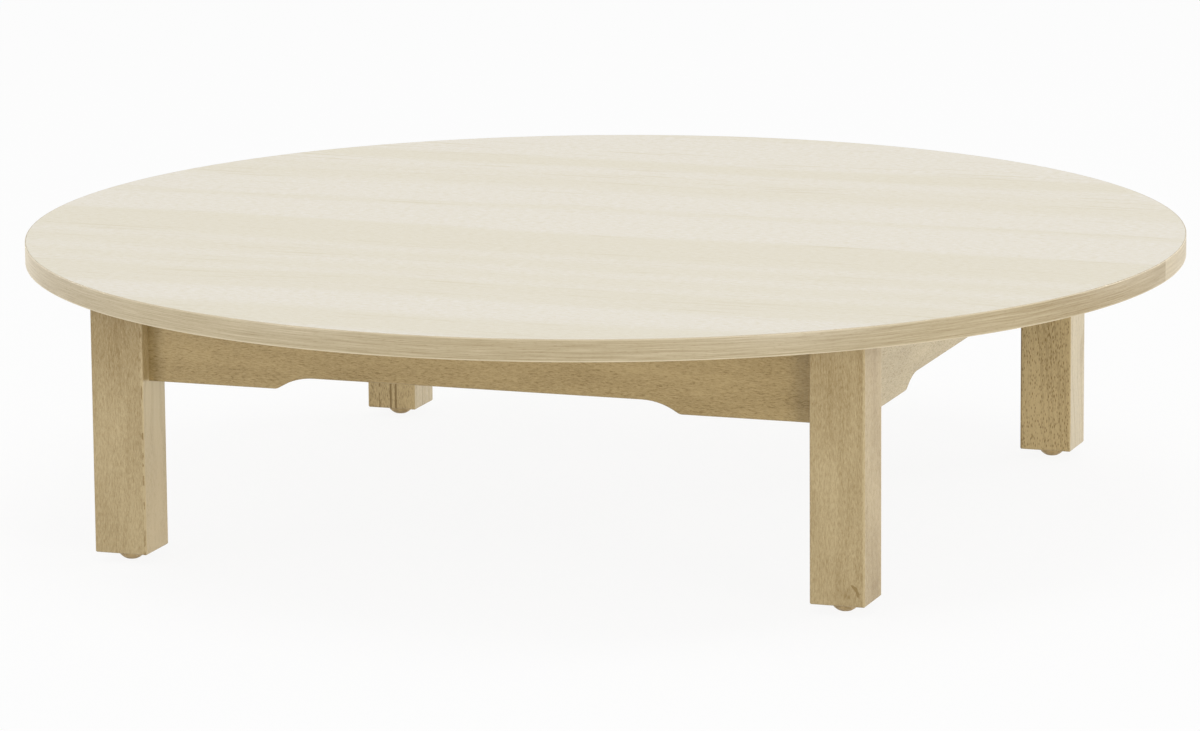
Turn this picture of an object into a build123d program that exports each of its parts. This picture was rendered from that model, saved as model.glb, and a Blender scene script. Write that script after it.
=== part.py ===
from build123d import *
import os
from math import degrees, sqrt

# Low round table on four square legs.  Millimetres, +Z up, standing on the floor at z = 0,
# centred on the Z axis.  The front apron faces -Y and the right apron faces +X.

# ---- driving dimensions ----

# table top: a chipboard core between two thin sheets, with a thin band round its rim
top_diameter = 1200.0
top_thickness = 22.0
sheet_thickness = 0.8        # laminate on each face of the core
band_thickness = 1.0
band_seam_angle = -1.0       # where the band's two ends meet, in degrees from +X
band_seam_gap = 0.3
rim_arris = 0.5              # rounding of the rim's two edges
glue_line = 0.05             # between the band and the board it wraps

# frame of legs and aprons
table_height = 293.0
frame_width = 810.0          # over the legs' outer faces, both ways
leg_section = 56.0
leg_arris = 1.5
leg_foot_arris = 1.0
apron_depth = 85.0
apron_thickness = 22.0
apron_setback = 16.0         # from the legs' outer faces
apron_arris = 1.0
arch_shoulder = 138.0        # straight part of the lower edge, from the leg to the arch
arch_rise = 12.5
arch_radius = 66.0
arch_corner_radius = 10.0    # where the arch meets the straight part

# flat on each leg's inner corner, where the hanger bolt goes in
leg_flat_depth = 10.0        # cut back along the diagonal
leg_flat_below = 6.0         # how far the flat runs down past the apron

# pressed steel corner plate, hooked into saw cuts in two aprons
plate_thickness = 2.0
plate_height = 58.0
plate_corner = 46.0          # from the aprons' meeting corner to each bend
plate_wing = 24.0            # from the bend to the hook, along the apron
plate_hook = 7.0             # depth of the hook in the apron
plate_bend = 2.0             # inside radius of the bends
plate_bead_width = 7.0       # stiffening beads pressed into the middle
plate_bead_height = 2.0
plate_bead_spacing = 40.0    # from one bead's middle to the other's
plate_bead_length = 40.0
plate_bead_slope = 30.0      # how far a bead's sides lean, in degrees
hook_slack = 0.5
hook_floor_gap = 0.5
plate_screw_spacing = 34.0

# hanger bolt, washer and nut
bolt_radius = 4.0
bolt_in_leg = 32.0
bolt_tail = 7.0              # thread left showing past the nut
bolt_hole_slack = 0.5
washer_radius = 9.0
washer_thickness = 1.6
nut_across_flats = 13.0
nut_thickness = 6.5
thread_clearance = 0.05
thread_chamfer = 0.8         # at the ends of the bolts and the stems

# wood screws with a flat-topped, tapered head
screw_radius = 2.0
screw_length = 15.0          # under the head
screw_head_radius = 4.0
screw_head_height = 2.4
screw_head_top_radius = 3.1
screw_hole_slack = 0.3       # in the steel
pilot_clearance = 0.05       # in the wood
pilot_spare = 1.0            # depth of the pilot hole past the point

# angle brackets that hold the top down
bracket_leg = 26.0
bracket_width = 22.0
bracket_thickness = 2.0
bracket_offset = 215.0       # from the middle of each apron
bracket_corner_radius = 1.5
bracket_screw_from_heel = 15.0

# levelling feet: a domed pad on a threaded stem, in a threaded insert
pad_radius = 15.0
pad_height = 10.0
pad_flat_radius = 6.0        # where the dome meets the floor
stem_radius = 4.0
stem_in_pad = 7.0
stem_in_leg = 26.0
stem_running_clearance = 0.05
insert_radius = 6.0
insert_length = 20.0
insert_flange_radius = 8.5
insert_flange_thickness = 1.5
bore_spare = 4.0             # bore depth past the stem's end
bore_slack = 2.0             # round the stem, above the insert

# ---- places worked out from them ----

top_radius = top_diameter / 2
board_radius = top_radius - band_thickness
board_edge = board_radius - glue_line
leg_top = table_height - top_thickness
leg_bottom = pad_height
leg_outer = frame_width / 2
leg_inner = leg_outer - leg_section
leg_middle = leg_outer - leg_section / 2
apron_outer = leg_outer - apron_setback
apron_inner = apron_outer - apron_thickness
apron_bottom = leg_top - apron_depth
plate_middle = leg_top - apron_depth / 2
hook_at = apron_inner - plate_corner - plate_wing   # the hooks' wood side
kerf_width = plate_thickness + hook_slack
bolt_hole_radius = bolt_radius + bolt_hole_slack
screw_hole_radius = screw_radius + screw_hole_slack
pilot_radius = screw_radius + pilot_clearance
pilot_depth = screw_length + pilot_spare

# quarter turns from the first corner, front left, and from the first side, front
corner_turns = {"front_left": 0, "front_right": 90, "back_right": 180, "back_left": 270}
side_turns = {"front": 0, "right": 90, "back": 180, "left": 270}

# the front left corner's diagonal, level and pointing at the table's middle;
# distances along it are from the leg's inner corner
inward = Vector(1, 1, 0).normalized()
leg_corner = Vector(-leg_inner, -leg_inner, 0)
plate_seat = (plate_corner - 2 * (apron_inner - leg_inner)) / sqrt(2)
diagonal_plane = Plane(origin=leg_corner, x_dir=inward, z_dir=(1, -1, 0))


def on_diagonal(distance, height):
    """A plane across the diagonal, facing the table's middle."""
    return Plane(origin=leg_corner + inward * distance + Vector(0, 0, height), z_dir=inward)


def rod(plane, radius, start, end):
    """A round rod or hole on a plane's axis, between two distances from the plane."""
    return plane * Pos(0, 0, (start + end) / 2) * Cylinder(radius, end - start)


# ---- table top ----

def board(thickness, bottom):
    """A round board that fills the band."""
    return Pos(0, 0, bottom + thickness / 2) * Cylinder(board_edge, thickness)


def top_core():
    core = board(top_thickness - 2 * sheet_thickness, leg_top + sheet_thickness)
    return core - top_pilot_holes()


def top_sheet():
    return board(sheet_thickness, table_height - sheet_thickness)


def backing_sheet():
    return board(sheet_thickness, leg_top) - top_pilot_holes()


def edge_band():
    """A thin strip bent round the board, its two ends meeting at the butt seam."""
    centre = Pos(board_radius + band_thickness / 2, leg_top + top_thickness / 2)
    section = centre * Rectangle(band_thickness, top_thickness)
    section = fillet(section.vertices().group_by(Axis.X)[-1], rim_arris)
    seam_turn = degrees(band_seam_gap / top_radius)
    ring = revolve(Plane.XZ * section, Axis.Z, revolution_arc=360 - seam_turn)
    return Rot(0, 0, band_seam_angle + seam_turn / 2) * ring


# ---- legs and aprons ----

def leg():
    """A square leg with rounded arrises, bored for its bolt and its foot's insert."""
    height = leg_top - leg_bottom
    post = Pos(-leg_middle, -leg_middle, leg_bottom + height / 2) * Box(leg_section, leg_section, height)
    post = fillet(post.edges().filter_by(Axis.Z), leg_arris)
    post = chamfer(post.edges().group_by(Axis.Z)[0], leg_foot_arris)
    return post - leg_flat() - leg_bolt_hole() - foot_bore()


def leg_flat():
    """The stopped flat on the inner corner, ending in a 45 degree run-out."""
    low = apron_bottom - leg_flat_below
    outline = Polyline((0, low), (-leg_flat_depth, low + leg_flat_depth), (-leg_flat_depth, leg_top),
                       (leg_section, leg_top), (leg_section, low), close=True)
    return extrude(diagonal_plane * make_face(outline), leg_section, both=True)


def leg_bolt_hole():
    hole_end = -leg_flat_depth - bolt_in_leg - pilot_spare
    return rod(on_diagonal(0, plate_middle), bolt_radius + thread_clearance, hole_end, 0)


def foot_bore():
    """The hole up the leg's middle for the insert, its flange and the stem's end."""
    foot = Plane(origin=(-leg_middle, -leg_middle, leg_bottom))
    bore = rod(foot, insert_radius + thread_clearance, 0, insert_length)
    bore += rod(foot, stem_radius + bore_slack, insert_length, stem_in_leg + bore_spare)
    bore += rod(foot, insert_flange_radius + thread_clearance, 0, insert_flange_thickness)
    return bore


def apron():
    """The front apron: a board with a low arch, saw cuts for the hooks and pilot holes."""
    shoulder = leg_inner - arch_shoulder
    run = sqrt(arch_radius ** 2 - (arch_radius - arch_rise) ** 2)
    crown = apron_bottom + arch_rise
    halfway_drop = arch_radius - sqrt(arch_radius ** 2 - run ** 2 / 4)
    ends = Polyline((-shoulder, apron_bottom), (-leg_inner, apron_bottom), (-leg_inner, leg_top),
                    (leg_inner, leg_top), (leg_inner, apron_bottom), (shoulder, apron_bottom))
    left_arc = ThreePointArc((-shoulder, apron_bottom), (-shoulder + run / 2, crown - halfway_drop),
                             (-shoulder + run, crown))
    flat = Line((-shoulder + run, crown), (shoulder - run, crown))
    right_arc = ThreePointArc((shoulder - run, crown), (shoulder - run / 2, crown - halfway_drop),
                              (shoulder, apron_bottom))
    face = make_face(ends + left_arc + flat + right_arc)
    face = fillet(face.vertices().group_by(Axis.Y)[0].sort_by(Axis.X)[1:3], arch_corner_radius)
    board_shape = Pos(0, -apron_outer, 0) * extrude(Plane.XZ * face, apron_thickness, dir=(0, 1, 0))
    lower = board_shape.edges().filter_by(lambda edge: edge.center().Z < crown + apron_arris)
    lower = lower.filter_by(lambda edge: abs(edge.center().Y + apron_outer - apron_thickness / 2) > apron_arris)
    board_shape = chamfer(lower, apron_arris)
    return board_shape - apron_kerfs() - apron_pilot_holes()


def apron_kerfs():
    """Saw cuts across the inner face; each hook bears on the wall nearer its leg."""
    depth = plate_hook + hook_floor_gap
    cut = Box(kerf_width, depth, apron_depth)
    cuts = Part()
    for side in (-1, 1):
        middle = side * (hook_at - kerf_width / 2)
        cuts += Pos(middle, -apron_inner - depth / 2, plate_middle) * cut
    return cuts


# ---- corner plates ----

def plate_path():
    """The side of the plate that lies on the wood, from hook to hook, seen from above."""
    bend = apron_inner - plate_corner
    first_hook = Line((-hook_at, -apron_inner - plate_hook), (-hook_at, -apron_inner))
    middle = FilletPolyline((-hook_at, -apron_inner), (-bend, -apron_inner), (-apron_inner, -bend),
                            (-apron_inner, -hook_at), radius=plate_bend)
    last_hook = Line((-apron_inner, -hook_at), (-apron_inner - plate_hook, -hook_at))
    return first_hook + middle + last_hook


def plate_bead(inset):
    """One pressed bead, round-ended, standing out of the plate's middle; inset shrinks it."""
    outline = SlotOverall(plate_bead_length - 2 * inset, plate_bead_width - 2 * inset)
    return extrude(outline, plate_bead_height, taper=plate_bead_slope)


def corner_plate():
    strip = offset(plate_path(), plate_thickness, side=Side.RIGHT)
    sheet = Pos(0, 0, plate_middle - plate_height / 2) * extrude(make_face(strip), plate_height)
    face = on_diagonal(plate_seat, plate_middle)
    for level in (-1, 1):
        middle = face * Rot(0, 0, 90) * Pos(level * plate_bead_spacing / 2, 0, 0) * Rot(0, 0, 90)
        sheet += middle * Pos(0, 0, plate_thickness) * plate_bead(0)
        sheet -= middle * plate_bead(plate_thickness / 2)
    sheet -= rod(face, bolt_hole_radius, 0, plate_thickness)
    for plane in plate_screw_planes():
        sheet -= rod(plane, screw_hole_radius, 0, plate_thickness)
    return sheet


def plate_screw_planes():
    """Planes under the heads of a corner plate's four screws, facing into the wood."""
    middle = apron_inner - plate_corner - plate_wing / 2
    lift = plate_screw_spacing / 2
    seat = apron_inner - plate_thickness
    planes = []
    for height in (plate_middle - lift, plate_middle + lift):
        planes.append(Plane(origin=(-middle, -seat, height), z_dir=(0, -1, 0)))
        planes.append(Plane(origin=(-seat, -middle, height), z_dir=(-1, 0, 0)))
    return planes


# ---- bolts, nuts and washers ----

def hanger_bolt():
    start = -leg_flat_depth - bolt_in_leg
    end = plate_seat + plate_thickness + washer_thickness + nut_thickness + bolt_tail
    bolt = rod(on_diagonal(0, plate_middle), bolt_radius, start, end)
    return chamfer(bolt.edges().filter_by(GeomType.CIRCLE), thread_chamfer)


def washer():
    seat = on_diagonal(plate_seat + plate_thickness, plate_middle)
    ring = rod(seat, washer_radius, 0, washer_thickness)
    return ring - rod(seat, bolt_hole_radius, 0, washer_thickness)


def nut():
    seat = on_diagonal(plate_seat + plate_thickness + washer_thickness, plate_middle)
    hexagon = RegularPolygon(nut_across_flats / 2, 6, major_radius=False)
    body = seat * extrude(hexagon, nut_thickness)
    return body - rod(seat, bolt_radius + thread_clearance, 0, nut_thickness)


# ---- screws ----

def screw():
    """A wood screw, its shank along +Z from the seat of its tapered head."""
    head = Cone(screw_head_top_radius, screw_head_radius, screw_head_height)
    return Pos(0, 0, -screw_head_height / 2) * head + rod(Plane.XY, screw_radius, 0, screw_length)


def screws(planes):
    return [plane * screw() for plane in planes]


def pilot_holes(planes, steel):
    """Holes in the wood behind a piece of steel of a given thickness."""
    holes = Part()
    for plane in planes:
        holes += rod(plane, pilot_radius, steel, pilot_depth)
    return holes


def turned(planes, turns):
    """Planes carried round the table by quarter turns."""
    return [Plane(Rot(0, 0, turn) * plane.location) for turn in turns for plane in planes]


def apron_pilot_holes():
    """Pilot holes in the front apron, for the plates at its two ends and its brackets."""
    near = plate_screw_planes()[0::2]
    far = turned(plate_screw_planes()[1::2], [90])
    plate_holes = pilot_holes(near + far, plate_thickness)
    return plate_holes + pilot_holes(bracket_screw_planes()[0::2], bracket_thickness)


def top_pilot_holes():
    return pilot_holes(turned(bracket_screw_planes()[1::2], side_turns.values()), bracket_thickness)


# ---- brackets ----

def bracket(middle):
    """An angle bracket under the top, on the front apron's inner face."""
    heel = Pos(middle, -apron_inner, leg_top)
    upright = Box(bracket_width, bracket_thickness, bracket_leg, align=(Align.CENTER, Align.MIN, Align.MAX))
    level = Box(bracket_width, bracket_leg, bracket_thickness, align=(Align.CENTER, Align.MIN, Align.MAX))
    angle = heel * (upright + level)
    tips = angle.edges().filter_by(Axis.Y).group_by(Axis.Z)[0]
    tips += angle.edges().filter_by(Axis.Z).group_by(Axis.Y)[-1]
    angle = fillet(tips, bracket_corner_radius)
    for plane in bracket_planes_at(middle):
        angle -= rod(plane, screw_hole_radius, 0, bracket_thickness)
    return angle


def bracket_planes_at(middle):
    """Planes under the heads of a bracket's two screws: into the apron, then into the top."""
    into_apron = Plane(origin=(middle, -apron_inner + bracket_thickness, leg_top - bracket_screw_from_heel),
                       z_dir=(0, -1, 0))
    into_top = Plane(origin=(middle, -apron_inner + bracket_screw_from_heel, leg_top - bracket_thickness),
                     z_dir=(0, 0, 1))
    return [into_apron, into_top]


def bracket_screw_planes():
    return bracket_planes_at(-bracket_offset) + bracket_planes_at(bracket_offset)


# ---- feet ----

def foot_pad():
    """A domed pad with a small flat underneath and a socket for its stem."""
    centre = (pad_radius ** 2 + pad_height ** 2 - pad_flat_radius ** 2) / (2 * pad_height)
    dome = sqrt(pad_flat_radius ** 2 + centre ** 2)
    half_height = pad_height / 2
    middle = (sqrt(dome ** 2 - (centre - half_height) ** 2), half_height)
    base = Polyline((pad_radius, pad_height), (0, pad_height), (0, 0), (pad_flat_radius, 0))
    profile = make_face(Plane.XZ * (base + ThreePointArc((pad_flat_radius, 0), middle, (pad_radius, pad_height))))
    pad = Pos(-leg_middle, -leg_middle, 0) * revolve(profile, Axis.Z)
    foot = Plane(origin=(-leg_middle, -leg_middle, pad_height))
    return pad - rod(foot, stem_radius + thread_clearance, -stem_in_pad, 0)


def foot_stem():
    foot = Plane(origin=(-leg_middle, -leg_middle, pad_height))
    stem = rod(foot, stem_radius, -stem_in_pad, stem_in_leg)
    return chamfer(stem.edges().filter_by(GeomType.CIRCLE).sort_by(Axis.Z)[-1], thread_chamfer)


def foot_insert():
    """A flanged threaded insert, flush with the leg's end."""
    foot = Plane(origin=(-leg_middle, -leg_middle, leg_bottom))
    sleeve = rod(foot, insert_radius, 0, insert_length)
    sleeve += rod(foot, insert_flange_radius, 0, insert_flange_thickness)
    return sleeve - rod(foot, stem_radius + stem_running_clearance, 0, insert_length)


# ---- writing the pieces ----

def write(name, shapes):
    export_step(Compound(children=shapes), f"parts/{name}.step")


def main():
    os.makedirs("parts", exist_ok=True)
    write("top_core", [top_core()])
    write("top_sheet", [top_sheet()])
    write("backing_sheet", [backing_sheet()])
    write("edge_band", [edge_band()])
    corner_pieces = {"leg": leg(), "corner_plate": corner_plate(), "hanger_bolt": hanger_bolt(),
                     "washer": washer(), "nut": nut(), "foot_insert": foot_insert(),
                     "foot_pad": foot_pad(), "foot_stem": foot_stem()}
    for corner, turn in corner_turns.items():
        for name, piece in corner_pieces.items():
            write(f"{name}_{corner}", [Rot(0, 0, turn) * piece])
    side_pieces = {"apron": [apron()], "brackets": [bracket(-bracket_offset), bracket(bracket_offset)]}
    for side, turn in side_turns.items():
        for name, pieces in side_pieces.items():
            write(f"{name}_{side}", [Rot(0, 0, turn) * piece for piece in pieces])
    write("corner_plate_screws", screws(turned(plate_screw_planes(), corner_turns.values())))
    write("bracket_screws", screws(turned(bracket_screw_planes(), side_turns.values())))


main()
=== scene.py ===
# %% [markdown]
# # A low round table, from bare solids to finished wood
#
# The table is a thin round top on a frame of four square beech legs and four arched aprons.
# Its solids come ready made, at their real size, so this lesson is about what they lack: the grain
# of each board, the strip that is bent round the rim, the threads and the driver slots of the
# fittings under the top, and a plain studio to see them in.
#
# Blender counts in metres. Patterns and new pieces are worked out in millimetres, because wood and
# screws are easier to think about in them.

# %% Load the solids
import math
import bpy
import numpy as np
from mathutils import Euler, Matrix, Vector


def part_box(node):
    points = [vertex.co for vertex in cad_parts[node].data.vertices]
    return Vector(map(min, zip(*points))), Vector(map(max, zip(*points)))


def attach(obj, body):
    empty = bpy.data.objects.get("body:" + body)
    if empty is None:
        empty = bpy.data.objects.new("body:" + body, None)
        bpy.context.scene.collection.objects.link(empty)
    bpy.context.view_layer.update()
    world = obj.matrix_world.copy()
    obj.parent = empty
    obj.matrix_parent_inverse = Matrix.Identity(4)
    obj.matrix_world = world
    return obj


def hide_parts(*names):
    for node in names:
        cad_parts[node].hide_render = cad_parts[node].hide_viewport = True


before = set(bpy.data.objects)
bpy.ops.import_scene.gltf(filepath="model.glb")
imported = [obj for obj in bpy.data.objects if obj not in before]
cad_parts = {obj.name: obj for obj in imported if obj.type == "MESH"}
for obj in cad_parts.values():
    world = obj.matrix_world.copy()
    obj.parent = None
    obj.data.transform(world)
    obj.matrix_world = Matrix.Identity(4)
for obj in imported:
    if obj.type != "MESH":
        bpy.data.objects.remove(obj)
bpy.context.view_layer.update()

MM = 0.001


def box_mm(node):
    """A solid's lowest and highest corner, in millimetres."""
    return [np.array(corner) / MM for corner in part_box(node)]


# %% [markdown]
# ## A number that lives on a surface
#
# A node material is a drawing of a calculation. Wood needs dozens of small sums. One could write
# each Math node out by hand, but then the sum disappears among the wiring. So `Signal` wraps one
# socket and lets Python's own operators add the Math nodes; the reflected forms let a plain number
# stand on the left, as in 1 - mask.

# %% Signals
class Signal:
    """A number that varies over a surface; sums on it become Math nodes."""

    def __init__(self, finish, socket):
        self.finish = finish
        self.socket = socket

    def __add__(self, other):
        return self.finish.maths("ADD", self, other)

    def __sub__(self, other):
        return self.finish.maths("SUBTRACT", self, other)

    def __rsub__(self, other):
        return self.finish.maths("SUBTRACT", other, self)

    def __mul__(self, other):
        return self.finish.maths("MULTIPLY", self, other)

    def __truediv__(self, other):
        return self.finish.maths("DIVIDE", self, other)

    __radd__ = __add__
    __rmul__ = __mul__


print("signals can be added, subtracted, multiplied and divided")

# %% [markdown]
# ## A material in the making
#
# Every finish on this table is a Principled shader with patterns fed into it, and the light of the
# room is a small tree of nodes too. `Recipe` holds such a tree while it is being made. Its `node`
# method adds a node, sets it up, and fills or links its sockets, so that what uses it reads as a
# calculation and not as wiring.

# %% Recipes
class Recipe:
    """A material or a world in the making, and the shader that its nodes feed."""

    def __init__(self, owner, shader):
        owner.use_nodes = True
        self.owner = owner
        self.tree = owner.node_tree
        self.shader = self.tree.nodes[shader]

    def node(self, kind, settings=None, sockets=None, output=0):
        """Adds a node, sets it, fills or links its sockets and gives one output as a signal."""
        made = self.tree.nodes.new(kind)
        for name, value in (settings or {}).items():
            setattr(made, name, value)
        self.fill(made.inputs, sockets or {})
        return Signal(self, made.outputs[output])

    def fill(self, inputs, values):
        """Links a signal to its socket, and writes a plain value on it."""
        for name, value in values.items():
            if isinstance(value, Signal):
                self.tree.links.new(value.socket, inputs[name])
            else:
                inputs[name].default_value = value

    def maths(self, operation, *values):
        """A Math node on one or more signals or numbers."""
        return self.node("ShaderNodeMath", {"operation": operation}, dict(enumerate(values)))

    def set(self, **sockets):
        """Sets or links the shader's sockets; an underscore stands for a space in a name."""
        named = {name.replace("_", " "): value for name, value in sockets.items()}
        self.fill(self.shader.inputs, named)
        return self.owner


print("a recipe adds any node, and sums as nodes")

# %% [markdown]
# ## The patterns that finishes are made of
#
# Grain, bloom and pores all start from the same few things: a place on the piece, noise stretched
# to suit, a soft step that picks part of it out, and a mix of two colours. Image textures have an
# end and a resolution. These are worked out at each point, in millimetres on the piece itself, so
# they stay sharp and never slide.

# %% Patterns
class Finish(Recipe):
    """A material on a Principled shader, and the patterns used on this table."""

    def __init__(self, name):
        super().__init__(bpy.data.materials.new(name), "Principled BSDF")

    def place(self):
        """The point on the surface in millimetres, as three signals."""
        return self.millimetres(self.node("ShaderNodeTexCoord", output=3))

    def millimetres(self, point):
        """A point in metres as three signals in millimetres."""
        sockets = {0: point, "Scale": 1 / MM}
        scaled = self.node("ShaderNodeVectorMath", {"operation": "SCALE"}, sockets)
        parts = self.node("ShaderNodeSeparateXYZ", None, {0: scaled}).socket.node
        return [Signal(self, socket) for socket in parts.outputs]

    def vector(self, parts):
        """Three signals or numbers as one vector."""
        return self.node("ShaderNodeCombineXYZ", None, dict(enumerate(parts)))

    def noise(self, point, detail=2.0, roughness=0.5):
        """Cloudy noise from 0 to 1 at a point given as three signals or numbers."""
        sockets = {"Vector": self.vector(point), "Scale": 1.0,
                   "Detail": detail, "Roughness": roughness}
        return self.node("ShaderNodeTexNoise", None, sockets)

    def lines(self, distance, detail=2.0):
        """Noise that depends on one distance alone, as growth rings and sliced veneer do."""
        sockets = {"W": distance, "Scale": 1.0, "Detail": detail}
        return self.node("ShaderNodeTexNoise", {"noise_dimensions": "1D"}, sockets)

    def specks(self, point, size):
        """1 inside small scattered dots and 0 between them; size is their share of the spacing."""
        sockets = {"Vector": self.vector(point), "Scale": 1.0}
        return self.step(self.node("ShaderNodeTexVoronoi", None, sockets), size, size * 0.4)

    def step(self, value, start, end):
        """Rises smoothly from 0 to 1 as value goes from start to end."""
        sockets = {"Value": value, "From Min": start, "From Max": end}
        return self.node("ShaderNodeMapRange", {"interpolation_type": "SMOOTHSTEP"}, sockets)

    def mix(self, share, first, second):
        """A colour between two others; share 0 is the first and 1 the second."""
        sockets = {0: share, 6: first, 7: second}
        return self.node("ShaderNodeMix", {"data_type": "RGBA"}, sockets, output=2)

    def bump(self, height, depth):
        """A normal from a height signal of 0 to 1 that stands for a depth in millimetres."""
        sockets = {"Height": height, "Strength": 1.0, "Distance": depth * MM}
        return self.node("ShaderNodeBump", None, sockets)


def spread(point, sizes):
    """A point with each part divided by a size, so that a pattern's marks come about that large."""
    return [part / size for part, size in zip(point, sizes)]


print("a finish has noise, lines, specks, steps, mixes and bumps")

# %% [markdown]
# ## Colours as a painter reads them
#
# A colour picked off a screen is coded for the screen, where equal steps look equal. The shader
# counts light, so each part is decoded first: near black by a straight line, and above it by a
# power of 2.4.

# %% Colours
def colour(red, green, blue):
    """A colour read off a screen, 0 to 255, turned into linear light."""
    def linear(part):
        part /= 255
        return part / 12.92 if part <= 0.04045 else ((part + 0.055) / 1.055) ** 2.4
    return (linear(red), linear(green), linear(blue), 1.0)


print("middle grey on a screen is", round(colour(128, 128, 128)[0], 3), "of white in light")

# %% [markdown]
# ## Beech, as a solid block
#
# Beech is plain: straight, fine and tan, with weak growth rings and thousands of short brown flecks
# where its rays are cut across. One could paint each face, but then the grain would not meet at the
# corners. Here the pattern fills space, as it does in a tree: growth rings are a distance from a
# pith line that runs along the board, pushed about by slow noise, and the flecks and fibres are
# noise stretched along the grain. Whatever face the saw left shows its own cut through that.

# %% Rings, flecks and fibres
pith_across, pith_depth = 90, 150
wander_size, wander_reach = (190, 60, 60), 26
ripple_size, ripple_reach = (18, 12, 12), 4
rings_per_mm = 0.20
flecks_per_mm = (0.18, 0.95)
fibres_per_mm = (0.16, 0.90)


def beech_grain(finish, board_place, swell):
    """Late wood, flecks and fibre, each 0 to 1; swell pushes the grain aside, in millimetres."""
    along, across, depth = board_place
    wander = finish.noise(spread(board_place, wander_size)) * wander_reach + swell
    first, second = across - pith_across + wander, depth - pith_depth + wander
    from_pith = finish.maths("SQRT", first * first + second * second)
    late_wood = finish.step(finish.lines(from_pith * rings_per_mm), 0.46, 0.64)
    ripple = finish.noise(spread(board_place, ripple_size), 1.0) * ripple_reach + swell * 0.3
    across, depth = across + ripple, depth + ripple

    def stretched(long, wide, roughness):
        return finish.noise((along * long, across * wide, depth * wide), 3.0, roughness)

    flecks = finish.step(stretched(*flecks_per_mm, 0.7), 0.50, 0.64)
    return late_wood, flecks, stretched(*fibres_per_mm, 0.8)


fleck_size = [round(1 / per_mm, 1) for per_mm in flecks_per_mm]
print("a beech fleck is about", fleck_size[0], "by", fleck_size[1], "mm")

# %% [markdown]
# ## A knot
#
# A knot is the root of a twig that the tree grew round. It could be a dark disc, but what tells a
# knot from a stain is the grain, which swells round the twig and is a little darker there. So the
# knot is a line through the board, the twig's own way. The distance from it gives the swell, the
# dark middle, and a torn scar of bark on one side. For the swell, distances along the leg count by
# half, which makes it twice as long as it is wide.

# %% A knot and its scar
twig_radius = 8
lump_size, lump_height = (5, 5, 5), 3
swell_reach, swell_height = 34, 14
shade_reach = 45
squash = 0.5
scar_way = (0.86, 0.51)
scar_start, scar_end, scar_half_width = 5.8, 7.2, 1.7
scar_strength, middle_strength, shade_strength = 1.8, 0.20, 0.16


def from_line(finish, point, start, way):
    """Distance from a point to an endless line through start: the length of offset cross way."""
    kind = "ShaderNodeVectorMath"
    way = Vector(way).normalized()
    offset = finish.node(kind, {"operation": "SUBTRACT"}, {0: finish.vector(point), 1: start})
    beside = finish.node(kind, {"operation": "CROSS_PRODUCT"}, {0: offset, 1: way})
    return finish.node(kind, {"operation": "LENGTH"}, {0: beside}, output=1)


def knot_marks(finish, point, start, way):
    """How far the grain swells, in millimetres, and how much darker the wood is, round a knot."""
    x, y, z = point
    squashed_start = (start[0], start[1], start[2] * squash)
    from_knot = from_line(finish, (x, y, z * squash), squashed_start, way)
    lumps = (finish.noise(spread(point, lump_size)) - 0.5) * lump_height
    from_twig = from_line(finish, point, start, way) + lumps
    beyond = (x - start[0]) * scar_way[0] + (z - start[2]) * scar_way[1]
    ring = finish.step(finish.maths("ABSOLUTE", from_twig - twig_radius), scar_half_width, 0.5)
    on_face = finish.step(y, start[1] + 8, start[1] + 4)
    scar = ring * finish.step(beyond, scar_start, scar_end) * on_face
    middle = finish.step(from_twig, twig_radius, 2)
    shade = finish.step(from_knot, shade_reach, 10)
    swell = finish.step(from_knot, swell_reach, 2) * swell_height
    return swell, scar * scar_strength + middle * middle_strength + shade * shade_strength


print("a knot swells the grain by", swell_height, "mm within", swell_reach, "mm")

# %% [markdown]
# ## Glued staves
#
# A thick leg is often glued up from staves. The glue lines are finer than a hair, but open grain
# beside them takes the lacquer darkly, so they show as thin lines that come and go. Each could be a
# groove in the mesh; as a dark line in the finish it bends with the fibres and costs nothing.

# %% Glue lines
line_wander = 1.2
patch_size = (9, 4, 4)


def glue_line_marks(finish, place, board_place, fibre, seams):
    """Dark lines at (axis, place, half width, strength, gaps); more is left out as gaps rises."""
    marks = 0.0
    for axis, seam_place, half_width, strength, gaps in seams:
        from_seam = place[axis] + (fibre - 0.5) * line_wander - seam_place
        line = finish.step(finish.maths("ABSOLUTE", from_seam), half_width, 0.2) * strength
        patches = finish.noise(spread(board_place, patch_size))
        marks = marks + line * finish.step(patches, gaps, gaps + 0.08)
    return marks


print("glue lines wander by up to", line_wander / 2, "mm with the fibres")

# %% [markdown]
# ## Edges and tops
#
# A leg's long edges on the right, where the lamps fall, are painted a little paler: a painted
# highlight. High up, under the table's own top, the front of a front leg is painted deeper: a
# painted shade. Brushed on by eye, both would differ from leg to leg; here they depend only on the
# place in the leg's box.

# %% Edges and tops of the legs
edge_width, edge_highlight = 3.0, 0.4
shade_start, shade_end = 130, 240


def painted_edge_and_top_light(finish, place, fibre, box, shade):
    """Painted shade at the top of the front, and a painted highlight near the long edges on the
    right.
    """
    x, y, z = place.values()
    front, (right, back, _) = box[0][1], box[1]
    on_front = finish.step(y, front + 2, front + 1)
    to_side = finish.maths("MINIMUM", y - front, back - y)
    from_edge = finish.maths("MAXIMUM", right - x, to_side) + (fibre - 0.5) * 2.0
    # The right-hand edges get a painted highlight, and the top of the front a painted shade.
    painted_highlight = finish.step(from_edge, edge_width, edge_width * 0.4)
    return finish.step(z, shade_start, shade_end) * on_front * shade - painted_highlight * edge_highlight


print("edges are paler for", edge_width, "mm")
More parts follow.
